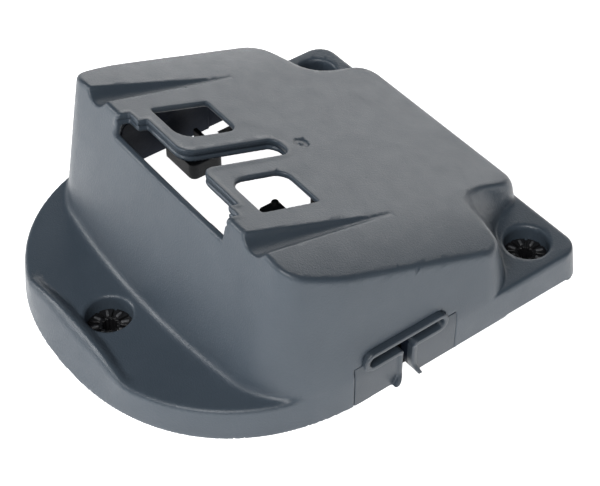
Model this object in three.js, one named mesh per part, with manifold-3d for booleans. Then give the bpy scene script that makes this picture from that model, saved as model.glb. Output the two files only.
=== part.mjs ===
// Hollow wedge-shaped surface mount for a clip-on audio beltpack.
// Millimetres, +Z up, +X to the object's right, -Y to its front.
// The origin is at the centre of the footprint, on the surface that the mount stands on.

import * as THREE from 'three';
import { mergeVertices } from 'three/addons/utils/BufferGeometryUtils.js';
import Module from 'manifold-3d';

const wasm = await Module();
wasm.setup();

// Overall size
const HALF_WIDTH = 80;
const FRONT_Y = -91.95;
const REAR_Y = 91.95;
const WALL = 2.6;
const GAP = 0.3;
const TALL = 75;
const CLEAR_Z = TALL + 5;
const PANEL_CUT_Z = 30;

// Front foot: a flat flange whose outline is half a superellipse
const FLANGE_TOP = 13.2;
const FLANGE_CENTRE_Y = -11.5;
const FLANGE_POWER = 2.27;
const FLANGE_SEGMENTS = 32;
const FLANGE_DRAFT = 0.1;
const REAR_CORNER_R = 8;

// Raised lip in front of the front screw hole
const LIP_TOP = 15.8;
const LIP_REAR_Y = -81.4;
const LIP_HALF = 36;
const CREST_Y = -86;

// Body walls: upright to BEND_Z, then leaning inwards
const BEND_Z = 15;
const SIDE_LEAN = 0.157;
const REAR_LEAN = 0.18;
const FOOT_Y = -57.95;
const FOOT_BOW = 0.0015;
const BROW_Y = -40;
const BROW_Z = 68.85;
const FRONT_CORNER_R = 14;
const BROW_CORNER_R = 6;
const SKIRT_Y = [-20, -45];

// Sloping top panel: z = PANEL_Z - PANEL_SLOPE * y, crowned towards both sides
const PANEL_Z = 55.37;
const PANEL_SLOPE = 0.337;
const CROWN_START = 45;
const CROWN_BOW = 0.0045;

// Tapering grooves that run back from the front edge
const GROOVE_X = 49;
const GROOVE_R = 5.4;
const GROOVE_TIP_Y = 19;

// Openings in the top panel and the front wall
const WINDOW_X = [14.2, 34.6];
const WINDOW_Y = [-26.1, -1.9];
const WINDOW_R = [6.5, 4.5];
const SLOT_HALF = 5.2;
const SLOT_END_Y = 8.1;
const MOUTH_HALF = 33.8;
const MOUTH_SILL_Z = 59.6;
const TONGUE_Y = -31.9;
const TONGUE_HALF = 28;
const STEP_Y = -35.8;
const RIM_DEPTH = 5;
const RIM_WIDTH = 1.6;

// Rear notches over the ears: upright faces at ear level and near the top
const EAR_TOP = 15.6;
const NOTCH_HIGH = 37;
const NOTCH_X = [47.6, 45.1];
const NOTCH_Y = [51.6, 49.6];
const NOTCH_Y_X = 80;
const NOTCH_TURN = [-0.637, -0.17];
const NOTCH_R = 10;
const REAR_TRIM = { x: 45.5, y: 88.2, r: 8 };

// Screw wells and their grommets
const WELL_R = 9.37;
const WELL_WALL = 2.6;
const WELL_DEPTH = 8.5;
const WELL_BORE_R = 5.2;
const FRONT_WELL = [0, -70.8, FLANGE_TOP];
const REAR_LEFT_WELL = [-65.5, 74.4, EAR_TOP];
const REAR_RIGHT_WELL = [65.5, 74.4, EAR_TOP];
const WELLS = [FRONT_WELL, REAR_LEFT_WELL, REAR_RIGHT_WELL];
const GROMMET_R = 8.9;
const GROMMET_T = 2.4;
const GROMMET_NECK_R = 4.8;
const GROMMET_NECK = 4;
const GROMMET_BORE_R = 2.7;
const PETALS = 8;

// Cable guides in the side walls
const GUIDE_Y = [-19.8, 26.4];
const GUIDE_TOP = 19;
const RING = { y: [-16.3, 21.8], z: 19.45, r: 4.3, proud: 0.9 };
const CABLE_SLOT = { y: [-14.25, 19.75], z: [17.25, 21.65] };
const SLIT = { y: 3.5, half: 2.2, knee: 6, flare: 2.55 };
const JAW = { t: 1.9, x: [73.5, 82.2], proud: 0.6, bendZ: [1.6, 7] };
const KNOCK_OUT = 1.2;

// From inside the hollow to well outside the wall
const SIDE_CUT_X = [60, 95];

// Cable trays behind the guides
const TRAY = { x: [53.1, 73.1], y: [1.5, 17.3], z: [0.6, 8.5], wall: 1.8, r: 3 };

// The stop that hangs under the panel behind the slot
const STOP = { half: 17, y: [8.3, 17.5], z: [1, 9], stemHalf: 4, stemY: [24, 27.6], web: 3, nub: 1.6 };

// Gate mark in the middle of the panel
const GATE = { y: 16.8, r: 2.6, depth: 0.7 };

const COLOURS = { shell: 0x59636b, insert: 0x535d66, rubber: 0x17181b, inner: 0x24282e };

const lerp = (a, b, t) => a + (b - a) * t;

// ---- Helpers -------------------------------------------------------------

// Turns a closed geometry into a solid that can be joined and cut
function solid(geometry) {
  const plain = new THREE.BufferGeometry();
  plain.setAttribute('position', geometry.getAttribute('position').clone());
  if (geometry.index) plain.setIndex(geometry.index.clone());
  return fromShared(mergeVertices(plain, 1e-4));
}

function fromShared(geometry) {
  return new wasm.Manifold(new wasm.Mesh({
    numProp: 3,
    vertProperties: new Float32Array(geometry.getAttribute('position').array),
    triVerts: new Uint32Array(geometry.index.array),
  }));
}

function geometryOf(body) {
  const mesh = body.getMesh();
  const geometry = new THREE.BufferGeometry();
  geometry.setAttribute('position', new THREE.BufferAttribute(mesh.vertProperties, 3));
  geometry.setIndex(new THREE.BufferAttribute(mesh.triVerts, 1));
  return geometry;
}

function node(name, body, colour, roughness, place = [0, 0, 0]) {
  const geometry = geometryOf(body);
  geometry.computeVertexNormals();
  const material = new THREE.MeshStandardMaterial({ color: colour, roughness, metalness: 0 });
  const made = new THREE.Mesh(geometry, material);
  made.name = name;
  made.position.set(...place);
  return made;
}

function warp(geometry, map) {
  const position = geometry.getAttribute('position');
  for (let i = 0; i < position.count; i += 1) {
    position.setXYZ(i, ...map(position.getX(i), position.getY(i), position.getZ(i)));
  }
  return geometry;
}

function prism(shape, z0, z1, steps = 1, curveSegments = 8) {
  const options = { depth: z1 - z0, steps, curveSegments, bevelEnabled: false };
  return new THREE.ExtrudeGeometry(shape, options).translate(0, 0, z0);
}

// Extrudes a shape drawn in (x, z) along y
function prismY(shape, y0, y1, curveSegments = 8) {
  return prism(shape, 0, y1 - y0, 1, curveSegments).rotateX(Math.PI / 2).translate(0, y1, 0);
}

// Extrudes a shape drawn in (y, z) along x
function prismX(shape, x0, x1, curveSegments = 8) {
  const turn = new THREE.Matrix4().set(0, 0, 1, x0, 1, 0, 0, 0, 0, 1, 0, 0, 0, 0, 0, 1);
  return prism(shape, 0, x1 - x0, 1, curveSegments).applyMatrix4(turn);
}

function box(x, y, z) {
  const geometry = new THREE.BoxGeometry(x[1] - x[0], y[1] - y[0], z[1] - z[0]);
  return geometry.translate((x[0] + x[1]) / 2, (y[0] + y[1]) / 2, (z[0] + z[1]) / 2);
}

function cylinder(r, at, z0, z1, segments = 40) {
  const geometry = new THREE.CylinderGeometry(r, r, z1 - z0, segments).rotateX(Math.PI / 2);
  return geometry.translate(at[0], at[1], (z0 + z1) / 2);
}

// A rectangle with its own radius at each corner: lower left, lower right, upper right, upper left
function roundedRect(x, y, radii) {
  const [ll, lr, ur, ul] = radii;
  const shape = new THREE.Shape();
  shape.moveTo(x[0] + ll, y[0]);
  shape.lineTo(x[1] - lr, y[0]);
  if (lr) shape.absarc(x[1] - lr, y[0] + lr, lr, -Math.PI / 2, 0);
  shape.lineTo(x[1], y[1] - ur);
  if (ur) shape.absarc(x[1] - ur, y[1] - ur, ur, 0, Math.PI / 2);
  shape.lineTo(x[0] + ul, y[1]);
  if (ul) shape.absarc(x[0] + ul, y[1] - ul, ul, Math.PI / 2, Math.PI);
  shape.lineTo(x[0], y[0] + ll);
  if (ll) shape.absarc(x[0] + ll, y[0] + ll, ll, Math.PI, Math.PI * 1.5);
  return shape;
}

// The same solid on the other side of x = 0, with its triangles turned to face out again
function mirrored(body) {
  const geometry = geometryOf(body).scale(-1, 1, 1);
  const corners = geometry.index.array;
  for (let i = 0; i < corners.length; i += 3) {
    [corners[i], corners[i + 1]] = [corners[i + 1], corners[i]];
  }
  return fromShared(geometry);
}

function bothSides(body) {
  return body.add(mirrored(body));
}

// ---- Shell ---------------------------------------------------------------

function flangeOutline(inset, rear = FLANGE_CENTRE_Y + 30) {
  const a = HALF_WIDTH - inset;
  const b = FLANGE_CENTRE_Y - FRONT_Y - inset;
  const points = [];
  for (let i = 0; i <= FLANGE_SEGMENTS; i += 1) {
    const t = Math.PI * (1 + i / FLANGE_SEGMENTS);
    const bend = (v) => Math.sign(v) * Math.abs(v) ** (2 / FLANGE_POWER);
    points.push(new THREE.Vector2(a * bend(Math.cos(t)), FLANGE_CENTRE_Y + b * bend(Math.sin(t))));
  }
  points.push(new THREE.Vector2(a, rear), new THREE.Vector2(-a, rear));
  return new THREE.Shape(points);
}

// The flange's face leans in a little all round, and at the front up to a straight crest
function leanToCrest(x, y, z) {
  const draft = 1 - (FLANGE_DRAFT * z) / HALF_WIDTH;
  const leant = FLANGE_CENTRE_Y + (y - FLANGE_CENTRE_Y) * draft;
  return [x * draft, lerp(leant, Math.max(leant, CREST_Y), z / LIP_TOP), z];
}

function flange(inset) {
  const top = FLANGE_TOP - inset;
  return solid(warp(prism(flangeOutline(inset), inset ? -5 : 0, top), leanToCrest));
}

function lip() {
  const arch = new THREE.Shape();
  arch.moveTo(-LIP_HALF, FLANGE_TOP - 1);
  arch.lineTo(LIP_HALF, FLANGE_TOP - 1);
  arch.lineTo(LIP_HALF, FLANGE_TOP - 0.2);
  arch.quadraticCurveTo(0, 2 * LIP_TOP - FLANGE_TOP, -LIP_HALF, FLANGE_TOP - 0.2);
  const block = solid(prismY(arch, FRONT_Y, LIP_REAR_Y));
  return block.intersect(solid(warp(prism(flangeOutline(0.6), 0, LIP_TOP), leanToCrest)));
}

// Plan of the body at floor level, with short steps along the bowed front edge
function bodyPlan(inset) {
  const r = FRONT_CORNER_R - inset;
  const rear = REAR_CORNER_R - inset;
  const half = HALF_WIDTH - inset;
  const front = FOOT_Y + inset;
  const shape = new THREE.Shape();
  const span = half - r;
  shape.moveTo(-span, front);
  for (let i = 1; i <= 10; i += 1) shape.lineTo(lerp(-span, span, i / 10), front);
  shape.absarc(span, front + r, r, -Math.PI / 2, 0);
  shape.absarc(half - rear, REAR_Y - inset - rear, rear, 0, Math.PI / 2);
  shape.absarc(rear - half, REAR_Y - inset - rear, rear, Math.PI / 2, Math.PI);
  shape.absarc(-span, front + r, r, Math.PI, Math.PI * 1.5);
  return shape;
}

function sideLean(z) {
  return 1 - (SIDE_LEAN * Math.max(0, z - BEND_Z)) / HALF_WIDTH;
}

// The flange's outline carried up past the front corners of the body
function leanSkirt(x, y, z) {
  const along = THREE.MathUtils.clamp((SKIRT_Y[0] - y) / (SKIRT_Y[0] - SKIRT_Y[1]), 0, 1);
  const draft = 1 - (along * FLANGE_DRAFT * Math.min(z, FLANGE_TOP)) / HALF_WIDTH;
  return [x * draft * sideLean(z), y, z];
}

// The front corners of the body are wide at the foot and tight at the brow
function tightenCorner(x, y, z, inset) {
  const wide = FRONT_CORNER_R - inset;
  const half = HALF_WIDTH - inset;
  const front = FOOT_Y + inset;
  const across = (Math.abs(x) - half + wide) / wide;
  const back = (front + wide - y) / wide;
  if (across < 0 || back < 0) return [x, y];
  const rise = THREE.MathUtils.clamp((z - BEND_Z) / (BROW_Z - BEND_Z), 0, 1);
  const tight = lerp(wide, BROW_CORNER_R - inset, rise);
  return [Math.sign(x) * (half - tight + across * tight), front + tight - back * tight];
}

function leanWalls(inset) {
  return (x0, y0, z) => {
    const [x, y] = tightenCorner(x0, y0, z, inset);
    const rise = (z - FLANGE_TOP) / (BROW_Z - FLANGE_TOP);
    const front = lerp(FOOT_Y + FOOT_BOW * x * x, BROW_Y, rise);
    const rear = REAR_Y - REAR_LEAN * z;
    const t = (y - FOOT_Y) / (REAR_Y - FOOT_Y);
    return [x * sideLean(z), lerp(front, rear, t), z];
  };
}

const onPanel = new THREE.Matrix4().set(1, 0, 0, 0, 0, 1, 0, 0, 0, -PANEL_SLOPE, 1, PANEL_Z, 0, 0, 0, 1);

// Everything below the crowned top panel
function underPanel(drop) {
  const shape = new THREE.Shape();
  shape.moveTo(-90, -130);
  shape.lineTo(90, -130);
  for (const x of [90, 80, 72, 64, 55, CROWN_START]) shape.lineTo(x, -drop - crown(x));
  for (const x of [CROWN_START, 55, 64, 72, 80, 90]) shape.lineTo(-x, -drop - crown(x));
  return solid(prismY(shape, -110, 110).applyMatrix4(onPanel));
}

function crown(x) {
  return CROWN_BOW * (x - CROWN_START) ** 2;
}

function rearNotch(grow) {
  const shape = roundedRect([-grow, 45], [-grow, 60], [NOTCH_R + grow, 0, 0, 0]);
  const place = (p, q, z) => {
    const rise = (z - EAR_TOP) / (NOTCH_HIGH - EAR_TOP);
    const x = lerp(NOTCH_X[0], NOTCH_X[1], rise) + p;
    const face = (k) => NOTCH_Y[k] + NOTCH_TURN[k] * (x - NOTCH_Y_X);
    return [x, lerp(face(0), face(1), rise) + q, z];
  };
  return solid(warp(prism(shape, EAR_TOP - grow, 62), place));
}

function groove(grow) {
  const length = GROOVE_TIP_Y - BROW_Y + 20;
  const r = GROOVE_R * (length / (GROOVE_TIP_Y - BROW_Y));
  const cone = new THREE.ConeGeometry(r + grow, length * (1 + grow / r), 16);
  cone.translate(GROOVE_X, GROOVE_TIP_Y - length / 2, 0);
  return solid(cone.applyMatrix4(onPanel));
}

function mouthPlan(grow) {
  const r = 5 - grow;
  const end = 4 - grow * 0.5;
  const half = SLOT_HALF + grow;
  const edge = TONGUE_Y + grow;
  const shape = new THREE.Shape();
  shape.moveTo(-MOUTH_HALF - grow, -75);
  shape.lineTo(MOUTH_HALF + grow, -75);
  shape.lineTo(MOUTH_HALF + grow, STEP_Y + grow);
  shape.lineTo(TONGUE_HALF + grow, STEP_Y + grow);
  shape.lineTo(TONGUE_HALF + grow, edge);
  shape.absarc(half + r, edge + r, r, -Math.PI / 2, -Math.PI, true);
  shape.absarc(half - end, SLOT_END_Y + grow - end, end, 0, Math.PI / 2);
  shape.absarc(end - half, SLOT_END_Y + grow - end, end, Math.PI / 2, Math.PI);
  shape.absarc(-half - r, edge + r, r, 0, -Math.PI / 2, true);
  shape.lineTo(-TONGUE_HALF - grow, edge);
  shape.lineTo(-TONGUE_HALF - grow, STEP_Y + grow);
  shape.lineTo(-MOUTH_HALF - grow, STEP_Y + grow);
  return shape;
}

function windowPlan() {
  const [front, rear] = WINDOW_R;
  return roundedRect(WINDOW_X, WINDOW_Y, [front, 0.8, 0.8, rear]);
}

// The mouth's edge turns down into a rim under the panel
function mouthRim() {
  const tall = solid(prism(mouthPlan(RIM_WIDTH), 20, TALL));
  return tall.subtract(underPanel(RIM_DEPTH));
}

function bodySolid(inset) {
  const drop = inset * 1.05;
  const low = inset ? -5 : 0;
  const plan = solid(warp(prism(bodyPlan(inset), low, TALL, 5), leanWalls(inset)));
  const skirt = solid(warp(prism(flangeOutline(inset, REAR_Y + 5), low, TALL, 5), leanSkirt));
  const walls = plan.intersect(skirt);
  let cuts = rearNotch(inset).add(groove(inset));
  if (!inset) cuts = cuts.add(rearTrim());
  return walls.intersect(underPanel(drop)).subtract(bothSides(cuts));
}

// Takes the corner off the body between its rear wall and the notch
function rearTrim() {
  const { x, y, r } = REAR_TRIM;
  const shape = new THREE.Shape();
  shape.moveTo(x + 5, y + 8);
  shape.lineTo(x - r, y + 8);
  shape.absarc(x - r, y - r, r, Math.PI / 2, 0, true);
  shape.lineTo(x + 5, y - r);
  return solid(prism(shape, EAR_TOP, 45));
}

function wellBoss([x, y, top]) {
  return solid(cylinder(WELL_R + WELL_WALL, [x, y], 0, top - 0.6));
}

function wellBore([x, y, top]) {
  const seat = solid(cylinder(WELL_R, [x, y], top - WELL_DEPTH, top + 5));
  return seat.add(solid(cylinder(WELL_BORE_R, [x, y], -2, top)));
}

function guideOutline(grow) {
  const panel = new THREE.Shape();
  const low = grow ? -5 : GAP;
  panel.moveTo(GUIDE_Y[0] - grow, low);
  panel.lineTo(GUIDE_Y[1] + grow, low);
  panel.lineTo(GUIDE_Y[1] + grow, GUIDE_TOP + grow);
  panel.lineTo(GUIDE_Y[0] - grow, GUIDE_TOP + grow);
  return panel;
}

function obround(y0, y1, z0, z1) {
  const r = (z1 - z0) / 2;
  return roundedRect([y0, y1], [z0, z1], [r, r, r, r]);
}

function ringOutline(grow) {
  const r = RING.r + grow;
  return obround(RING.y[0] - grow, RING.y[1] + grow, RING.z - r, RING.z + r);
}

function guideHole() {
  const panel = solid(prismX(guideOutline(GAP), ...SIDE_CUT_X));
  return panel.add(solid(prismX(ringOutline(GAP), ...SIDE_CUT_X)));
}

// The mouth cuts down to its sill in the front wall, and right through the panel behind it
function mouth() {
  const plan = mouthPlan(0);
  const deep = solid(prism(plan, PANEL_CUT_Z, CLEAR_Z)).intersect(behindFrontWall());
  return solid(prism(plan, MOUTH_SILL_Z, CLEAR_Z)).add(deep);
}

function gateMark() {
  const mark = new THREE.CylinderGeometry(GATE.r, GATE.r * 0.6, GATE.depth * 2, 16).rotateX(Math.PI / 2);
  return solid(mark.translate(0, GATE.y, 0).applyMatrix4(onPanel));
}

function shell() {
  let body = flange(0).add(lip()).add(bodySolid(0));
  body = body.subtract(flange(WALL).add(bodySolid(WALL)).subtract(mouthRim()));
  for (const place of WELLS) body = body.add(wellBoss(place));
  for (const place of WELLS) body = body.subtract(wellBore(place));
  body = body.subtract(mouth()).subtract(gateMark());
  const windows = solid(prism(windowPlan(), PANEL_CUT_Z, CLEAR_Z));
  return body.subtract(bothSides(windows)).subtract(bothSides(guideHole()));
}

// Space behind the front wall, where the mouth's plan may cut deeper than its sill
function behindFrontWall() {
  return solid(box([-HALF_WIDTH, HALF_WIDTH], [STEP_Y - 0.5, SLOT_END_Y + 5], [PANEL_CUT_Z, CLEAR_Z]));
}

// ---- Other pieces --------------------------------------------------------

// One jaw of the slit, upright down to the knee and flared below it
function jawSide(side) {
  const { y, half, knee, flare } = SLIT;
  const top = CABLE_SLOT.z[0] + 1;
  const at = (out, z) => new THREE.Vector2(y + side * out, z);
  return new THREE.Shape([
    at(half, top), at(half, knee), at(half + flare, GAP),
    at(half + JAW.t + flare, GAP), at(half + JAW.t, knee), at(half + JAW.t, top),
  ]);
}

// The jaws' outline seen from the front, with tips that stand out of the wall
function jawReach(inner) {
  const tip = JAW.x[1];
  const face = HALF_WIDTH + JAW.proud;
  const top = CABLE_SLOT.z[0] - 1;
  const side = new THREE.Shape();
  side.moveTo(inner, GAP);
  side.lineTo(tip, GAP);
  side.lineTo(tip, JAW.bendZ[0]);
  side.lineTo(face, JAW.bendZ[1]);
  side.lineTo(face, top);
  side.lineTo(inner, top);
  return solid(prismY(side, ...GUIDE_Y));
}

function jaws(inner) {
  const [front, rear] = [-1, 1].map((side) => solid(prismX(jawSide(side), ...JAW.x)));
  return front.add(rear).intersect(jawReach(inner));
}

function slit(inner) {
  const { y, half, knee, flare } = SLIT;
  const top = CABLE_SLOT.z[0] + 2;
  const right = [[half, top], [half, knee], [half + flare, GAP], [half + flare, -5]];
  const left = right.map(([out, z]) => [-out, z]).reverse();
  const outline = [...right, ...left].map(([out, z]) => new THREE.Vector2(y + out, z));
  return solid(prismX(new THREE.Shape(outline), inner, SIDE_CUT_X[1]));
}

// The slot and slit go right through, or end at a thin web that can be knocked out
function cableGuide(isOpen) {
  const inner = HALF_WIDTH - WALL;
  let body = solid(prismX(guideOutline(0), inner, HALF_WIDTH));
  body = body.add(solid(prismX(ringOutline(0), inner, HALF_WIDTH + RING.proud)));
  body = body.add(jaws(isOpen ? JAW.x[0] : inner));
  const floor = isOpen ? SIDE_CUT_X[0] : inner + KNOCK_OUT;
  const slot = solid(prismX(obround(...CABLE_SLOT.y, ...CABLE_SLOT.z), floor, SIDE_CUT_X[1]));
  return body.subtract(slot).subtract(slit(floor));
}

function cableTray() {
  const { x, y, z, wall, r } = TRAY;
  const outer = solid(prism(roundedRect(x, y, [r, 0.4, 0.4, r]), ...z));
  const inner = roundedRect([x[0] + wall, x[1] + 5], [y[0] + wall, y[1] - wall], [r - 1, 0, 0, r - 1]);
  return outer.subtract(solid(prism(inner, z[0] + wall, z[1] + 5)));
}

// Drawn with its seat at z = 0
function grommet() {
  const high = GROMMET_T;
  const profile = [
    [GROMMET_BORE_R, -GROMMET_NECK], [GROMMET_NECK_R, -GROMMET_NECK],
    [GROMMET_NECK_R, 0], [GROMMET_R, 0],
    [GROMMET_R, high - 0.8], [6.2, high], [GROMMET_BORE_R, high - 0.4], [GROMMET_BORE_R, -GROMMET_NECK],
  ].map(([r, z]) => new THREE.Vector2(r, z));
  let body = solid(new THREE.LatheGeometry(profile, 40).rotateX(Math.PI / 2));
  for (let i = 0; i < PETALS; i += 1) {
    const turn = (i / PETALS) * 2 * Math.PI;
    const cut = box([4, 10], [-0.4, 0.4], [high - 1.4, high + 2]).rotateZ(turn);
    const rib = box([4.6, 7.2], [-0.5, 0.5], [high - 1.2, high + 0.5]).rotateZ(turn + Math.PI / PETALS);
    body = body.subtract(solid(cut)).add(solid(rib));
  }
  return body;
}

// A bar low in the hollow with a nub at each rear corner, hung from the panel by a flat stem
function clipStop() {
  const { half, y, z, stemHalf, stemY, web, nub } = STOP;
  const top = PANEL_Z - PANEL_SLOPE * stemY[1] - WALL * 1.1 - GAP;
  const stem = new THREE.Shape();
  stem.moveTo(y[0] + 1, z[0]);
  stem.lineTo(stemY[1], z[0]);
  stem.lineTo(stemY[1], top);
  stem.lineTo(stemY[0], top + PANEL_SLOPE * (stemY[1] - stemY[0]));
  stem.lineTo(stemY[0], z[0] + web);
  stem.lineTo(y[0] + 1, z[0] + web);
  const bar = new THREE.Shape();
  bar.moveTo(y[0], z[0]);
  bar.lineTo(y[1], z[0]);
  bar.lineTo(y[1], z[1] - 1);
  bar.lineTo(y[1] - 1, z[1]);
  bar.lineTo(y[0] + 4, z[1]);
  bar.lineTo(y[0], z[1] - 3);
  const bump = solid(cylinder(nub, [half - nub, y[1] - nub - 0.5], z[1] - 1, z[1] + 1.2, 16));
  return solid(prismX(stem, -stemHalf, stemHalf)).add(solid(prismX(bar, -half, half))).add(bothSides(bump));
}

// ---- Assembly ------------------------------------------------------------

function build() {
  const group = new THREE.Group();
  const tray = cableTray();
  group.add(node('mount_shell', shell(), COLOURS.shell, 0.5));
  group.add(node('cable_guide_right', cableGuide(true), COLOURS.insert, 0.5));
  group.add(node('cable_guide_left', mirrored(cableGuide(false)), COLOURS.insert, 0.5));
  group.add(node('cable_tray_right', tray, COLOURS.inner, 0.6));
  group.add(node('cable_tray_left', mirrored(tray), COLOURS.inner, 0.6));
  group.add(node('clip_stop', clipStop(), COLOURS.inner, 0.6));
  const rubber = grommet();
  ['grommet_front', 'grommet_rear_left', 'grommet_rear_right'].forEach((name, i) => {
    const [x, y, top] = WELLS[i];
    group.add(node(name, rubber, COLOURS.rubber, 0.8, [x, y, top - WELL_DEPTH + GAP]));
  });
  return group;
}

export default build();
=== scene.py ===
"""Looks for a hollow wedge-shaped surface mount that holds a clip-on audio beltpack.

Every moulded piece is written as a field, the distance in millimetres to its surface, on a grid of
points. The surface where the field is zero becomes the mesh, and its normals come from the field.
"""

import math

import bpy
import numpy as np
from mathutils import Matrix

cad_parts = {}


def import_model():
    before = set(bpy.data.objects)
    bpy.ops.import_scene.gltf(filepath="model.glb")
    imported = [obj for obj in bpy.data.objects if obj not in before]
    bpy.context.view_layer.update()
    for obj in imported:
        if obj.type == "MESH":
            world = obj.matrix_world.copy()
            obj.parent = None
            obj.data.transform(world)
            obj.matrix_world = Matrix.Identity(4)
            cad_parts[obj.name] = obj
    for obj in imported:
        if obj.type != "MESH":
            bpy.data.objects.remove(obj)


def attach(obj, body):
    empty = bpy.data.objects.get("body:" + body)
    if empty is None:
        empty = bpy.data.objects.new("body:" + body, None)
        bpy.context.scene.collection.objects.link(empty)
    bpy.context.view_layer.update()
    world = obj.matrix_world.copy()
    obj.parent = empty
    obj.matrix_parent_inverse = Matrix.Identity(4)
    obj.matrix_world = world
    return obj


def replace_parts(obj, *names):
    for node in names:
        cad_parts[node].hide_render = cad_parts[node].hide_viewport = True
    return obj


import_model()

import openvdb
from mathutils import Matrix, Vector

# ---- Sizes in millimetres, +Y to the rear ---------------------------------------------------

HALF_WIDTH = 80.0
FRONT_Y = -91.95
REAR_Y = 91.95
WALL = 2.6

FLANGE_TOP = 13.2
FLANGE_CENTRE_Y = -11.5
FLANGE_POWER = 2.27
FLANGE_DRAFT = 0.1
FLANGE_EDGE_R = 1.6
FOOT_FILLET = 2.5
REAR_CORNER_R = 8.0

FLANGE_BEHIND = 30.0
FOOT_EDGE_R = 0.4

LIP_TOP = 17.0
LIP_EDGE_R = 4.2
LIP_HALF = 40.0
LIP_INNER_Y = -79.3
LIP_INNER_BOW = 2.4
LIP_OUTER_Y = -84.0
LIP_OUTER_BOW = 1.3
LIP_BOW_X = 30.0
CREST_Y = -86.0
CREST_Z = 15.8

BEND_Z = 15.0
BEND_SOFT = 2.0
SIDE_LEAN = 0.157
REAR_LEAN = 0.18
FOOT_Y = -57.95
FOOT_BOW = 0.0015
BROW_Y = -40.0
BROW_Z = 68.85
FRONT_CORNER_R = 14.0
BROW_CORNER_R = 6.0
SKIRT_Y = (-20.0, -45.0)

PANEL_Z = 55.37
PANEL_SLOPE = 0.337
PANEL_COS = 1 / math.hypot(1, PANEL_SLOPE)
CROWN_START = 45.0
CROWN_BOW = 0.0045
TOP_EDGE_R = 1.8
REAR_EDGE_R = 4.0
REAR_EDGE_Y = (76, 88)

GROOVE_X = 49.0
GROOVE_R = 5.9
GROOVE_TIP_Y = 19.2
GROOVE_LIFT = 0.25

WINDOW = (14.2, 34.6, -26.1, -1.9)
WINDOW_R = (6.5, 0.8, 0.8, 4.5)
SLOT_HALF = 5.2
SLOT_END_Y = 8.1
MOUTH_HALF = 33.8
MOUTH_SILL_Z = 59.6
TONGUE_Y = -31.9
TONGUE_HALF = 28.0
STEP_Y = -35.8
SLOT_END_R = 4.0
TONGUE_FILLET = 5.5
SILL_BACK = 0.5
OPENING_FLOOR_Z = 30
RIM_DEPTH = 5.0
RIM_WIDTH = 1.6
BEAD_DEPTH = 2.9
BEAD_GROOVE = 0.7
BEAD_WIDTH = 0.55

GATE_Y = 16.8
GATE_R = 2.8
GATE_DEPTH = 0.55
GATE_NUB_R = 1.0
GATE_NUB_DEPTH = 0.05

EAR_TOP = 15.6
NOTCH_HIGH = 37.0
NOTCH_X = (47.6, 45.1)
NOTCH_Y = (51.6, 49.6)
NOTCH_TURN = (-0.637, -0.17)
NOTCH_R = 8.5
NOTCH_FILLET = 1.0
NOTCH_CORNER_R = 8.0
EAR_EDGE_R = 1.2

WELL_R = 9.37
WELL_WALL = 2.6
WELL_DEPTH = 8.5
WELL_BORE_R = 5.2
WELL_RIM = 0.8
WELL_EDGE_R = 1.5
BOSS_DROP = 0.6
WELLS = {
    "grommet_front": (0.0, -70.8, FLANGE_TOP),
    "grommet_rear_left": (-65.5, 74.4, EAR_TOP),
    "grommet_rear_right": (65.5, 74.4, EAR_TOP),
}
# Heights in millimetres over which the rib tops fade to a painted highlight
RIB_HIGHLIGHT_Z = (2.42, 2.62)
GAP = 0.3
SEAM = 0.06

GUIDE_Y = (-19.8, 26.4)
GUIDE_TOP = 19.0
RING_Y = (-16.3, 21.8)
RING_Z = 19.45
RING_R = 4.3
RING_FACE = 80.9
SLOT_Y = (-14.25, 19.75)
SLOT_R = 2.2
SLIT_Y = 3.5
SLIT_HALF = 2.2
SLIT_FLARE = 2.55
JAW_T = 1.9
JAW_IN = 73.5
JAW_TIP = 82.1
JAW_BEND_Z = (5.0, 7.5)
JAW_TURN_Z = (5.5, 0.8)
JAW_FLUSH = 0.3
FLARE_POWER = 1.7
KNOCK_OUT = 1.2
SIDE_CUT_X = 60

TRAY_X = (53.1, 73.1)
TRAY_Y = (1.5, 17.3)
TRAY_Z = (0.6, 8.5)
TRAY_WALL = 1.8
TRAY_R = (3.0, 0.5, 0.5, 3.0)
TRAY_ROOM_R = (2.0, 0.1, 0.1, 2.0)
TRAY_OPEN = 8

STOP_HALF = 17.0
STOP_Y = (8.3, 17.5)
STOP_Z = (1.0, 9.0)
STEM_HALF = 4.0
STEM_Y = (24.0, 27.6)
STEM_WEB = 3.0
STEM_GAP = 0.6
STEM_LAP = 2
NUB_IN = (2.0, 2.3)
NUB_R = 1.6
NUB_Z = (-2, 1.2)

PETALS = 8
PETAL_R = 8.7
PETAL_GAP = 0.5
PETAL_GAP_FROM = (3.9, 0.9)
DOME_TOP = 2.3
DOME_BOW = 0.030
DOME_R = 4.5
RIB_HALF = 0.55
RIB_R = (4.2, 7.2)
RIB_RISE = 0.6
NECK_R = 4.8
NECK_Z = (-4, 0.5)
HOLE_R = 2.95
SPLINES = 12
SPLINE_DEPTH = 0.28

# ---- Fields ---------------------------------------------------------------------------------


def step_up(v, low, high):
    t = np.clip((v - low) / (high - low), 0, 1)
    return t * t * (3 - 2 * t)


def both(a, b, r=0.0):
    """Inside both, with the edge between them rounded to radius r."""
    top = np.maximum(a, b)
    u = np.maximum(a + r, 0)
    v = np.maximum(b + r, 0)
    return np.minimum(top, -r) + np.sqrt(u * u + v * v)


def either(a, b, r=0.0):
    """Inside either, with a fillet of radius r between them."""
    return -both(-a, -b, r)


def less(a, b, r=0.0):
    """Inside a and outside b, with the edge of the cut rounded to radius r."""
    return both(a, -b, r)


def slab(v, low, high):
    return np.abs(v - (low + high) / 2) - (high - low) / 2


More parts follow.
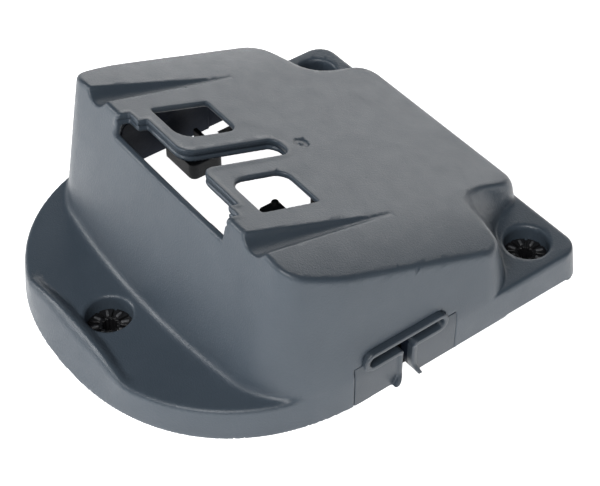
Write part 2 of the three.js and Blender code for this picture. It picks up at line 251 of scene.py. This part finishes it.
def rounded_rect(x, y, box, radii):
    """Radii are those of the corners at lower left, lower right, upper right and upper left."""
    x0, x1, y0, y1 = box
    u, v = x - (x0 + x1) / 2, y - (y0 + y1) / 2
    ll, lr, ur, ul = radii
    r = np.where(v < 0, np.where(u < 0, ll, lr), np.where(u < 0, ul, ur))
    return both(np.abs(u) - (x1 - x0) / 2, np.abs(v) - (y1 - y0) / 2, r)


def obround(y, z, y0, y1, zc, r):
    """A slot of radius r whose straight centre line runs from y0 to y1 at height zc."""
    along = np.maximum(np.abs(y - (y0 + y1) / 2) - (y1 - y0) / 2, 0)
    return np.sqrt(along**2 + (z - zc) ** 2) - r


# ---- Shell ----------------------------------------------------------------------------------


def plan_outline(x, y):
    """Half a superellipse at the front, and straight sides behind its centre."""
    p = FLANGE_POWER
    a, b = HALF_WIDTH, FLANGE_CENTRE_Y - FRONT_Y
    u = np.abs(x) / a + 1e-6
    v = np.maximum(FLANGE_CENTRE_Y - y, 0) / b
    f = (u**p + v**p) ** (1 / p)
    steep = f ** (1 - p) * np.hypot(u ** (p - 1) / a, v ** (p - 1) / b)
    return (f - 1) / steep


def flange_front(x):
    """Where the outline's front edge lies at floor level."""
    u = np.clip(np.abs(x) / HALF_WIDTH, 0, 1) ** FLANGE_POWER
    return FLANGE_CENTRE_Y - (FLANGE_CENTRE_Y - FRONT_Y) * (1 - u) ** (1 / FLANGE_POWER)


def lip_height(x, y):
    """How far the lip in front of the screw hole rises over the flange."""
    inner = LIP_INNER_Y - LIP_INNER_BOW * (x / LIP_BOW_X) ** 2
    crest = LIP_OUTER_Y - LIP_OUTER_BOW * (x / LIP_BOW_X) ** 2
    return (LIP_TOP - FLANGE_TOP) * lip_width(x) * np.clip((inner - y) / (inner - crest), 0, 1)


def lip_width(x):
    return step_up(1 - (x / LIP_HALF) ** 2, 0, 1)


def side_wall(x, y, z):
    lean = z - BEND_Z
    ramp = 0.5 * (lean + np.sqrt(lean**2 + BEND_SOFT**2))
    skirt = np.clip((SKIRT_Y[0] - y) / (SKIRT_Y[0] - SKIRT_Y[1]), 0, 1)
    draft = FLANGE_DRAFT * skirt * np.minimum(z, FLANGE_TOP)
    return plan_outline(x, y) + SIDE_LEAN * ramp + draft


def above_panel(x, y, z):
    crown = CROWN_BOW * np.maximum(np.abs(x) - CROWN_START, 0) ** 2
    return (z - (PANEL_Z - PANEL_SLOPE * y - crown)) * PANEL_COS


def front_wall(x, y, z):
    rise = (z - FLANGE_TOP) / (BROW_Z - FLANGE_TOP)
    face = FOOT_Y + FOOT_BOW * x**2 * (1 - rise) + (BROW_Y - FOOT_Y) * rise
    return (face - y) * 0.952


def notch(x, y, z):
    """The room over each rear ear."""
    t = np.clip((z - EAR_TOP) / (NOTCH_HIGH - EAR_TOP), -0.4, 1.5)
    out = np.abs(x) - HALF_WIDTH
    wall = NOTCH_X[0] + (NOTCH_X[1] - NOTCH_X[0]) * t
    low = NOTCH_Y[0] + NOTCH_TURN[0] * out
    high = NOTCH_Y[1] + NOTCH_TURN[1] * out
    turn = NOTCH_TURN[0] + (NOTCH_TURN[1] - NOTCH_TURN[0]) * t
    face = (low + (high - low) * t - y) / np.sqrt(1 + turn**2)
    return both(wall - np.abs(x), face, NOTCH_R)


def groove(x, y, z):
    r = GROOVE_R * (GROOVE_TIP_Y - y) / (GROOVE_TIP_Y - BROW_Y)
    up = above_panel(x, y, z) - GROOVE_LIFT * r
    return np.sqrt((np.abs(x) - GROOVE_X) ** 2 + up**2) - r


def body(x, y, z):
    rise = np.clip((z - BEND_Z) / (BROW_Z - BEND_Z), 0, 1)
    corner = FRONT_CORNER_R + (BROW_CORNER_R - FRONT_CORNER_R) * rise
    plan = both(side_wall(x, y, z), front_wall(x, y, z), corner)
    plan = both(plan, (y - REAR_Y + REAR_LEAN * z) * 0.984, REAR_CORNER_R)
    upper = less(plan, notch(x, y, z), NOTCH_CORNER_R)
    ear = both(plan, z - EAR_TOP, EAR_EDGE_R)
    solid = either(upper, ear, NOTCH_FILLET * step_up(-plan, 0.2, 3.0))
    edge = TOP_EDGE_R + (REAR_EDGE_R - TOP_EDGE_R) * step_up(y, *REAR_EDGE_Y)
    solid = both(solid, above_panel(x, y, z), edge)
    return less(solid, groove(x, y, z), r=0.8)


def outside(x, y, z):
    """Flange and body, before anything is cut out."""
    upper = body(x, y, z)
    lean = np.maximum(FLANGE_DRAFT, (CREST_Y - flange_front(x)) / CREST_Z)
    side = plan_outline(x, y) + lean * z
    top = z - FLANGE_TOP - lip_height(x, y)
    edge = FLANGE_EDGE_R + (LIP_EDGE_R - FLANGE_EDGE_R) * lip_width(x)
    foot = both(either(top, upper, FOOT_FILLET), side, edge)
    return np.minimum(upper, both(foot, y - FLANGE_CENTRE_Y - FLANGE_BEHIND))


def mouth_plan(x, y):
    ax = np.abs(x)
    wide = both(ax - MOUTH_HALF, y - STEP_Y, r=0.4)
    tongue = both(ax - TONGUE_HALF, y - TONGUE_Y, r=0.4)
    slot = both(ax - SLOT_HALF, y - SLOT_END_Y, SLOT_END_R)
    return np.minimum(wide, either(tongue, slot, TONGUE_FILLET))


def shell(x, y, z):
    skin = outside(x, y, z)
    solid = less(skin, skin + WALL)
    over = above_panel(x, y, z)
    plan = mouth_plan(x, y)
    rim = both(both(plan - RIM_WIDTH, skin), -over - RIM_DEPTH)
    solid = either(solid, rim, r=0.6)
    for cx, cy, top in list(WELLS.values())[::2]:
        reach = np.sqrt((x - cx) ** 2 + (y - cy) ** 2)
        boss = both(reach - WELL_R - WELL_WALL, z - top + BOSS_DROP)
        solid = np.minimum(solid, boss)
        solid = less(solid, both(reach - WELL_R + WELL_RIM, top - WELL_DEPTH - z), WELL_EDGE_R)
        solid = less(solid, reach - WELL_BORE_R)
    sill = np.minimum(MOUTH_SILL_Z - z, STEP_Y - SILL_BACK - y)
    bead = BEAD_GROOVE * np.exp(-(((over + BEAD_DEPTH) / BEAD_WIDTH) ** 2))
    solid = less(solid, both(plan - bead, both(sill, OPENING_FLOOR_Z - z)), r=0.7)
    window = rounded_rect(np.abs(x), y, WINDOW, WINDOW_R)
    solid = less(solid, both(window, OPENING_FLOOR_Z - z), r=0.8)
    solid = less(solid, gate_mark(x, y, over), r=0.6)
    solid = less(solid, guide_hole(x, y, z))
    return both(solid, -z, FOOT_EDGE_R)


def gate_mark(x, y, over):
    """A dimple with a small nub in it."""
    away = np.sqrt(x**2 + ((y - GATE_Y) / PANEL_COS) ** 2)
    dimple = both(away - GATE_R, -over - GATE_DEPTH, r=0.5)
    return less(dimple, both(away - GATE_NUB_R, over + GATE_NUB_DEPTH), r=0.3)


def guide_outline(y, z, grow):
    plate = both(slab(y, *GUIDE_Y) - grow, z - GUIDE_TOP - grow, r=0.3)
    ring = obround(y, z, RING_Y[0] + RING_R, RING_Y[1] - RING_R, RING_Z, RING_R)
    return plate, ring - grow


def guide_hole(x, y, z):
    plate, ring = guide_outline(y, z, SEAM)
    return both(np.minimum(plate, ring), SIDE_CUT_X - np.abs(x))


# ---- Cable guides, trays, stop and grommets -------------------------------------------------


def cable_opening(y, z):
    """The slot and the slit below it, as one outline with rounded corners and a flared foot."""
    slot = obround(y, z, SLOT_Y[0] + SLOT_R, SLOT_Y[1] - SLOT_R, RING_Z, SLOT_R)
    bend = np.where(y < SLIT_Y, *JAW_BEND_Z)
    flare = SLIT_FLARE * np.clip((bend - z) / bend, 0, 1.1) ** FLARE_POWER
    slit = both(np.abs(y - SLIT_Y) - SLIT_HALF - flare, z - RING_Z)
    return either(slot, slit, r=2.2)


def cable_guide(x, y, z, inner):
    """The slot and slit go in as far as inner, and the jaws start there."""
    wall = side_wall(x, y, z)
    plate, ring = guide_outline(y, z, 0)
    hole = cable_opening(y, z)
    solid = both(slab(wall, -WALL, 0), plate, r=0.15)
    solid = either(solid, both(both(ring, -wall - WALL), x - RING_FACE, r=0.7), r=0.5)
    turn = step_up(-z, -JAW_TURN_Z[0], -JAW_TURN_Z[1])
    tip = RING_FACE - JAW_FLUSH + (JAW_TIP - RING_FACE + JAW_FLUSH) * turn
    jaw = both(both(hole - JAW_T, z - RING_Z), both(x - tip, inner - x), r=0.6)
    solid = either(solid, jaw, r=0.5)
    solid = less(solid, both(hole, inner - 0.1 - x), r=0.5)
    return both(solid, GAP - z)


def open_guide(x, y, z):
    return cable_guide(x, y, z, JAW_IN)


def closed_guide(x, y, z):
    """The same guide with a thin web left at the inner end of the slot."""
    return cable_guide(x, y, z, HALF_WIDTH - WALL + KNOCK_OUT)


def cable_tray(x, y, z):
    plan = rounded_rect(x, y, (*TRAY_X, *TRAY_Y), TRAY_R)
    room_x = (TRAY_X[0] + TRAY_WALL, TRAY_X[1] + TRAY_OPEN)
    room_y = (TRAY_Y[0] + TRAY_WALL, TRAY_Y[1] - TRAY_WALL)
    room = rounded_rect(x, y, (*room_x, *room_y), TRAY_ROOM_R)
    solid = both(plan, slab(z, *TRAY_Z), r=0.4)
    return less(solid, both(room, TRAY_Z[0] + TRAY_WALL - z, r=0.6), r=0.3)


def clip_stop(x, y, z):
    bar = both(slab(x, -STOP_HALF, STOP_HALF), slab(y, *STOP_Y), r=1.2)
    bar = both(bar, slab(z, *STOP_Z), r=1.0)
    width = slab(x, -STEM_HALF, STEM_HALF)
    web = both(slab(y, STOP_Y[1] - STEM_LAP, STEM_Y[1]), slab(z, STOP_Z[0], STOP_Z[0] + STEM_WEB))
    web = both(width, web, r=0.5)
    top = above_panel(x, y, z) + WALL + STEM_GAP
    stem = both(width, both(slab(y, *STEM_Y), both(top, STOP_Z[0] - z)), r=0.5)
    away = np.sqrt((np.abs(x) - STOP_HALF + NUB_IN[0]) ** 2 + (y - STOP_Y[1] + NUB_IN[1]) ** 2)
    nub = both(away - NUB_R, slab(z, STOP_Z[1] + NUB_Z[0], STOP_Z[1] + NUB_Z[1]), r=0.5)
    return either(either(either(bar, web, r=1.0), stem, r=1.0), nub, r=0.5)


def grommet(x, y, z):
    """Eight petals round a splined hole, on a neck."""
    r = np.sqrt(x * x + y * y)
    turn = np.arctan2(y, x)
    pitch = 2 * math.pi / PETALS
    gap_off = np.abs((turn + pitch / 2) % pitch - pitch / 2) * r
    rib_off = np.abs(turn % pitch - pitch / 2) * r
    dome = DOME_TOP - DOME_BOW * (r - DOME_R) ** 2
    disc = both(both(r - PETAL_R, -z, r=0.3), z - dome, r=0.5)
    gap = both(gap_off - PETAL_GAP, both(PETAL_GAP_FROM[0] - r, PETAL_GAP_FROM[1] - z))
    disc = less(disc, gap, r=0.25)
    rib = both(both(rib_off - RIB_HALF, slab(r, *RIB_R), r=0.3), z - dome - RIB_RISE, r=0.35)
    solid = either(disc, rib, r=0.2)
    solid = np.minimum(solid, both(r - NECK_R, both(NECK_Z[0] - z, z - NECK_Z[1])))
    spline = SPLINE_DEPTH * np.cos(turn * SPLINES)
    return less(solid, r - HOLE_R - spline, r=0.2)


# ---- Meshes ---------------------------------------------------------------------------------

MM = 0.001

# How far short of a wall's inner face, and of a rim's or a well's end, the painted shade on inner faces
# may start
WALL_MARGIN = 0.3
END_MARGIN = 0.5


def axes(low, high, step):
    """Grid coordinates along x, y and z, shaped so that they spread over each other."""
    lines = [np.arange(a, b + step, step, dtype=np.float32) for a, b in zip(low, high)]
    return np.ix_(*lines)


def gradient_at(values, low, step, points):
    """The field's slope at each point, which is its surface normal."""
    normals = np.empty_like(points)
    local = (points - low) / step
    for axis in range(3):
        ahead, behind = local.copy(), local.copy()
        ahead[:, axis] += 0.6
        behind[:, axis] -= 0.6
        normals[:, axis] = sample(values, ahead) - sample(values, behind)
    length = np.linalg.norm(normals, axis=1, keepdims=True)
    return normals / np.maximum(length, 1e-9)


def sample(values, local):
    """Trilinear interpolation of the grid at points in grid units."""
    top = np.array(values.shape) - 2
    base = np.clip(np.floor(local).astype(np.int64), 0, top)
    part = np.clip(local - base, 0, 1)
    total = np.zeros(len(local), np.float64)
    for corner in range(8):
        bits = np.array([(corner >> 2) & 1, (corner >> 1) & 1, corner & 1])
        weight = np.prod(np.where(bits, part, 1 - part), axis=1)
        i, j, k = (base + bits).T
        total += weight * values[i, j, k]
    return total


def mesh_of(name, field, low, high, step, thin, mirror=False):
    """Makes the mesh where the field is zero. With mirror, only x >= 0 is worked out."""
    low = np.array(low, np.float32)
    if mirror:
        low[0] = 0
    x, y, z = axes(low, high, step)
    values = np.broadcast_to(field(x, y, z), (x.size, y.size, z.size)).astype(np.float32)
    if mirror:
        values = np.concatenate([values[:0:-1], values])
        low[0] = -float(x.max())
    reach = 3 * step
    grid = openvdb.FloatGrid(reach)
    grid.copyFromArray(np.clip(values, -reach, reach))
    points, triangles, quads = grid.convertToPolygons(isovalue=0.0, adaptivity=thin)
    points = points.astype(np.float64) * step + low
    faces = [tuple(int(i) for i in f) for f in (*triangles, *quads)]
    mesh = bpy.data.meshes.new(name)
    mesh.from_pydata(points * MM, [], faces)
    mesh.validate()
    mesh.update()
    mesh.shade_smooth()
    normals = gradient_at(values, low, step, points)
    mesh.normals_split_custom_set_from_vertices(normals)
    return mesh


def show(name, mesh, material, place=(0, 0, 0)):
    piece = bpy.data.objects.new(name, mesh)
    bpy.context.scene.collection.objects.link(piece)
    piece.location = Vector(place) * MM
    if not mesh.materials:
        mesh.materials.append(material)
    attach(piece, "root")
    return piece


def paint_inside(mesh, material):
    """Paints shade on the faces under the walls and below the panel's rims, with a second, darker
    material.
    """
    centres = np.empty(len(mesh.polygons) * 3)
    mesh.polygons.foreach_get("center", centres)
    x, y, z = centres.reshape(-1, 3).T / MM
    inside = outside(x, y, z) < -WALL + WALL_MARGIN
    inside &= above_panel(x, y, z) < -RIM_DEPTH + END_MARGIN
    for cx, cy, top in WELLS.values():
        beside = np.hypot(x - cx, y - cy) > WELL_R + END_MARGIN
        inside &= beside | (z < top - WELL_DEPTH - END_MARGIN)
    mesh.materials.append(material)
    mesh.polygons.foreach_set("material_index", inside.astype(np.int32))


# ---- Materials ------------------------------------------------------------------------------


def new_material(name):
    material = bpy.data.materials.new(name)
    material.use_nodes = True
    nodes, links = material.node_tree.nodes, material.node_tree.links
    shader = nodes["Principled BSDF"]
    place = nodes.new("ShaderNodeTexCoord").outputs["Object"]
    return material, nodes, links, shader, place


def noise(nodes, links, place, scale, detail=4.0, rough=0.55):
    made = nodes.new("ShaderNodeTexNoise")
    made.inputs["Scale"].default_value = scale
    made.inputs["Detail"].default_value = detail
    made.inputs["Roughness"].default_value = rough
    links.new(place, made.inputs["Vector"])
    return made.outputs["Fac"]


def ramp(nodes, links, value, stops):
    """Colours or greys along a 0 to 1 value."""
    made = nodes.new("ShaderNodeValToRGB")
    elements = made.color_ramp.elements
    for element, (at, colour) in zip(elements, stops):
        element.position = at
        element.color = (*colour, 1.0)
    links.new(value, made.inputs["Fac"])
    return made.outputs["Color"]


def span(nodes, links, value, low, high):
    made = nodes.new("ShaderNodeMapRange")
    made.inputs["From Min"].default_value = 0.3
    made.inputs["From Max"].default_value = 0.7
    made.inputs["To Min"].default_value = low
    made.inputs["To Max"].default_value = high
    links.new(value, made.inputs["Value"])
    return made.outputs["Result"]


def bump(nodes, links, height, strength, distance, below=None):
    made = nodes.new("ShaderNodeBump")
    made.inputs["Strength"].default_value = strength
    made.inputs["Distance"].default_value = distance
    links.new(height, made.inputs["Height"])
    if below is not None:
        links.new(below, made.inputs["Normal"])
    return made.outputs["Normal"]


def grained_plastic(name, dark, light, rough, grain, depth, shine=0.5):
    """Moulded plastic with a spark-eroded grain and a faint cloudiness."""
    material, nodes, links, shader, place = new_material(name)
    cloud = noise(nodes, links, place, 45.0, 3.0)
    links.new(ramp(nodes, links, cloud, [(0.35, dark), (0.65, light)]), shader.inputs["Base Color"])
    patches = noise(nodes, links, place, 160.0, 5.0)
    links.new(span(nodes, links, patches, *rough), shader.inputs["Roughness"])
    coarse = bump(nodes, links, noise(nodes, links, place, grain, 2.0), 0.5, depth)
    fine = bump(nodes, links, noise(nodes, links, place, grain * 2.6, 2.0), 0.4, depth * 0.5, coarse)
    links.new(fine, shader.inputs["Normal"])
    shader.inputs["Specular IOR Level"].default_value = shine
    return material


def paint_highlight_on_tops(material, heights, colour):
    """Paints a highlight: fades the base colour to a lighter one between two local heights in
    millimetres.
    """
    nodes, links = material.node_tree.nodes, material.node_tree.links
    target = nodes["Principled BSDF"].inputs["Base Color"]
    below = target.links[0].from_socket
    split = nodes.new("ShaderNodeSeparateXYZ")
    links.new(nodes.new("ShaderNodeTexCoord").outputs["Object"], split.inputs["Vector"])
    fade = nodes.new("ShaderNodeMapRange")
    fade.inputs["From Min"].default_value = heights[0] * MM
    fade.inputs["From Max"].default_value = heights[1] * MM
    links.new(split.outputs["Z"], fade.inputs["Value"])
    mix = nodes.new("ShaderNodeMix")
    mix.data_type = "RGBA"
    links.new(fade.outputs["Result"], mix.inputs["Factor"])
    links.new(below, mix.inputs["A"])
    mix.inputs["B"].default_value = (*colour, 1.0)
    links.new(mix.outputs["Result"], target)


# ---- Stage ----------------------------------------------------------------------------------


FLOOR_GLOW = 1.0
FLOOR_GREY = 0.86
# Grey of the painted shadow on the floor under the part
SHADE_GREY = 0.12
FLOOR_HALF = 6000.0

# What the part covers, and where its openings show the table, as x and y limits in millimetres
UNDER = ((-74, 74, -44, 86), (-40, 40, -75, -44))
SEEN = ((-74, -18, -11, 8), (-66, -12, 8, 44), (-74, -66, 14, 28))

# Place in metres, width, height and watts of each softbox
LAMP_AIM = (0, 0, 0.03)
SOFTBOXES = {
    "rear": ((-1.0, 1.35, 0.55), 1.5, 0.7, 10.0),
    "key": ((0.9, -1.1, 1.5), 1.2, 1.2, 33.0),
    "front": ((-1.0, -1.05, 0.8), 0.5, 0.6, 12.0),
}
SKY = {"horizon": 1.0, "overhead": 0.35, "fade": (0.1, 0.6)}

CAMERA_AT = (0.3483, -0.24745, 0.4196)
CAMERA_AZIMUTH = math.radians(52.87)
CAMERA_ELEVATION = math.radians(43.97)
CAMERA_ROLL = math.radians(0.11)
LENS_MM = 92.35
SENSOR_MM = 36.0


def floor():
    """A pale light table. Under the part it has a painted shadow, except where the openings show it."""
    boxes = (*UNDER, *SEEN)
    xs = sorted({-FLOOR_HALF, FLOOR_HALF, *(v for b in boxes for v in b[:2])})
    ys = sorted({-FLOOR_HALF, FLOOR_HALF, *(v for b in boxes for v in b[2:])})
    corners = [(x * MM, y * MM, 0) for y in ys for x in xs]
    faces, shades = [], []
    for j in range(len(ys) - 1):
        for i in range(len(xs) - 1):
            k = j * len(xs) + i
            faces.append((k, k + 1, k + 1 + len(xs), k + len(xs)))
            at = ((xs[i] + xs[i + 1]) / 2, (ys[j] + ys[j + 1]) / 2)
            hidden = any(lies_in(at, b) for b in UNDER)
            shades.append(int(hidden and not any(lies_in(at, b) for b in SEEN)))
    mesh = bpy.data.meshes.new("floor")
    mesh.from_pydata(corners, [], faces)
    mesh.materials.append(floor_material("pale_floor", FLOOR_GREY, FLOOR_GLOW))
    mesh.materials.append(floor_material("shaded_floor", SHADE_GREY, 0.0))
    mesh.polygons.foreach_set("material_index", shades)
    made = bpy.data.objects.new("floor", mesh)
    bpy.context.scene.collection.objects.link(made)


def lies_in(at, box):
    return box[0] < at[0] < box[1] and box[2] < at[1] < box[3]


def floor_material(name, grey, glow):
    material, nodes, links, shader, place = new_material(name)
    tone = noise(nodes, links, place, 3.0, 2.0)
    greys = [(0.3, (grey, grey, grey)), (0.7, (grey + 0.02, grey + 0.02, grey + 0.02))]
    links.new(ramp(nodes, links, tone, greys), shader.inputs["Base Color"])
    shader.inputs["Roughness"].default_value = 0.7
    shader.inputs["Emission Color"].default_value = (1, 1, 1, 1)
    shader.inputs["Emission Strength"].default_value = glow
    return material


def softbox(name, at, width, height, power):
    light = bpy.data.lights.new(name, "AREA")
    light.shape = "RECTANGLE"
    light.size = width
    light.size_y = height
    light.energy = power
    lamp = bpy.data.objects.new(name, light)
    bpy.context.scene.collection.objects.link(lamp)
    lamp.location = at
    lamp.rotation_euler = (Vector(LAMP_AIM) - Vector(at)).to_track_quat("-Z", "Y").to_euler()


def lights():
    for name, sizes in SOFTBOXES.items():
        softbox(name, *sizes)


def world():
    """A studio that is bright at the horizon and dim overhead."""
    made = bpy.data.worlds.new("studio")
    made.use_nodes = True
    nodes, links = made.node_tree.nodes, made.node_tree.links
    place = nodes.new("ShaderNodeTexCoord").outputs["Generated"]
    split = nodes.new("ShaderNodeSeparateXYZ")
    links.new(place, split.inputs["Vector"])
    fade = nodes.new("ShaderNodeMapRange")
    fade.interpolation_type = "SMOOTHSTEP"
    fade.inputs["From Min"].default_value = SKY["fade"][0]
    fade.inputs["From Max"].default_value = SKY["fade"][1]
    fade.inputs["To Min"].default_value = SKY["horizon"]
    fade.inputs["To Max"].default_value = SKY["overhead"]
    links.new(split.outputs["Z"], fade.inputs["Value"])
    links.new(fade.outputs["Result"], nodes["Background"].inputs["Strength"])
    bpy.context.scene.world = made


def camera():
    data = bpy.data.cameras.new("camera")
    data.sensor_width = SENSOR_MM
    data.lens = LENS_MM
    data.clip_start = 0.01
    data.clip_end = 20.0
    lens = bpy.data.objects.new("camera", data)
    bpy.context.scene.collection.objects.link(lens)
    back = Vector(
        (
            math.sin(CAMERA_AZIMUTH) * math.cos(CAMERA_ELEVATION),
            -math.cos(CAMERA_AZIMUTH) * math.cos(CAMERA_ELEVATION),
            math.sin(CAMERA_ELEVATION),
        )
    )
    aim = (-back).to_track_quat("-Z", "Y").to_matrix().to_4x4()
    lens.matrix_world = Matrix.Translation(CAMERA_AT) @ aim @ Matrix.Rotation(CAMERA_ROLL, 4, "Z")
    bpy.context.scene.camera = lens


# ---- Scene ----------------------------------------------------------------------------------


def skins():
    """Every plastic and rubber, by name, with a darker copy of the shell plastic as painted shade on
    inner faces.
    """
    rubber = grained_plastic(
        "black_rubber", (0.009, 0.009, 0.010), (0.013, 0.013, 0.014), (0.30, 0.42), 1800.0, 0.00010
    )
    # Painted highlight on the tops of the grommet ribs
    paint_highlight_on_tops(rubber, RIB_HIGHLIGHT_Z, (0.085, 0.087, 0.092))
    return {
        "shell": grained_plastic(
            "shell_plastic", (0.047, 0.063, 0.082), (0.053, 0.070, 0.090), (0.34, 0.42), 1500.0, 0.00022
        ),
        "insert": grained_plastic(
            "insert_plastic", (0.036, 0.048, 0.062), (0.041, 0.054, 0.070), (0.32, 0.40), 1700.0, 0.00014
        ),
        # A darker copy of the shell plastic: painted shade for the inner faces of the shell and guides
        "inside": grained_plastic(
            "shell_inside", (0.007, 0.011, 0.021), (0.010, 0.015, 0.027), (0.45, 0.55), 1300.0, 0.00018,
            0.1,
        ),
        "inner": grained_plastic(
            "inner_plastic", (0.006, 0.007, 0.008), (0.009, 0.010, 0.012), (0.38, 0.48), 1300.0, 0.00018,
            0.14,
        ),
        "rubber": rubber,
    }


def build_shell(skin, coarse):
    low, high = (-82, -93.3, -1.3), (82, 93.5, 71)
    mesh = mesh_of("mount_shell_skin", shell, low, high, 0.5 * coarse, 0.1, True)
    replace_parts(show("mount_shell_skin", mesh, skin["shell"]), "mount_shell")
    # Painted shade on the shell's inner faces
    paint_inside(mesh, skin["inside"])


def build_guides(skin, coarse):
    low, high = (72.5, -21, -0.8), (83.2, 28, 25.0)
    for side, field in (("right", open_guide), ("left", closed_guide)):
        mesh = mesh_of(f"cable_guide_{side}_mesh", field, low, high, 0.25 * coarse, 0.1)
        if side == "left":
            mesh = mirrored(mesh, "cable_guide_left_skin")
        piece = show(f"cable_guide_{side}_skin", mesh, skin["insert"])
        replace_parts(piece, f"cable_guide_{side}")
        # Painted shade on the guide's inner faces
        paint_inside(mesh, skin["inside"])


def build_trays(skin, coarse):
    tray = mesh_of("cable_tray_mesh", cable_tray, (52, 0.5, 0), (74, 18.5, 9.5), 0.3 * coarse, 0.1)
    for side, mesh in (("right", tray), ("left", mirrored(tray, "cable_tray_left_skin"))):
        piece = show(f"cable_tray_{side}_skin", mesh, skin["inner"])
        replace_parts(piece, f"cable_tray_{side}")


def build_stop(skin, coarse):
    mesh = mesh_of("clip_stop_mesh", clip_stop, (-18.5, 7, 0), (18.5, 29, 46), 0.35 * coarse, 0.1)
    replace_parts(show("clip_stop_skin", mesh, skin["inner"]), "clip_stop")


def build_grommets(skin, coarse):
    low, high = (-9.4, -9.4, -4.4), (9.4, 9.4, 3.4)
    mesh = mesh_of("grommet_mesh", grommet, low, high, 0.16 * coarse, 0.05)
    for name, (x, y, top) in WELLS.items():
        place = (x, y, top - WELL_DEPTH + GAP)
        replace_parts(show(f"{name}_skin", mesh, skin["rubber"], place), name)


def build_pieces():
    skin = skins()
    coarse = 1.0
    for build in (build_shell, build_guides, build_trays, build_stop, build_grommets):
        build(skin, coarse)


def mirrored(mesh, name):
    """The same mesh on the other side of x = 0, facing out."""
    points = np.empty(len(mesh.vertices) * 3, np.float32)
    mesh.vertices.foreach_get("co", points)
    normals = np.empty((len(mesh.vertices), 3), np.float64)
    loops = np.empty(len(mesh.loops), np.int64)
    mesh.loops.foreach_get("vertex_index", loops)
    slopes = np.empty(len(mesh.loops) * 3, np.float32)
    mesh.corner_normals.foreach_get("vector", slopes)
    normals[loops] = slopes.reshape(-1, 3)
    faces = [tuple(reversed(face.vertices)) for face in mesh.polygons]
    made = bpy.data.meshes.new(name)
    made.from_pydata(points.reshape(-1, 3) * (-1, 1, 1), [], faces)
    made.update()
    made.shade_smooth()
    made.normals_split_custom_set_from_vertices(normals * (-1, 1, 1))
    return made


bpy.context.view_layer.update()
build_pieces()
floor()
world()
lights()
camera()
bpy.context.scene.view_settings.view_transform = "Standard"
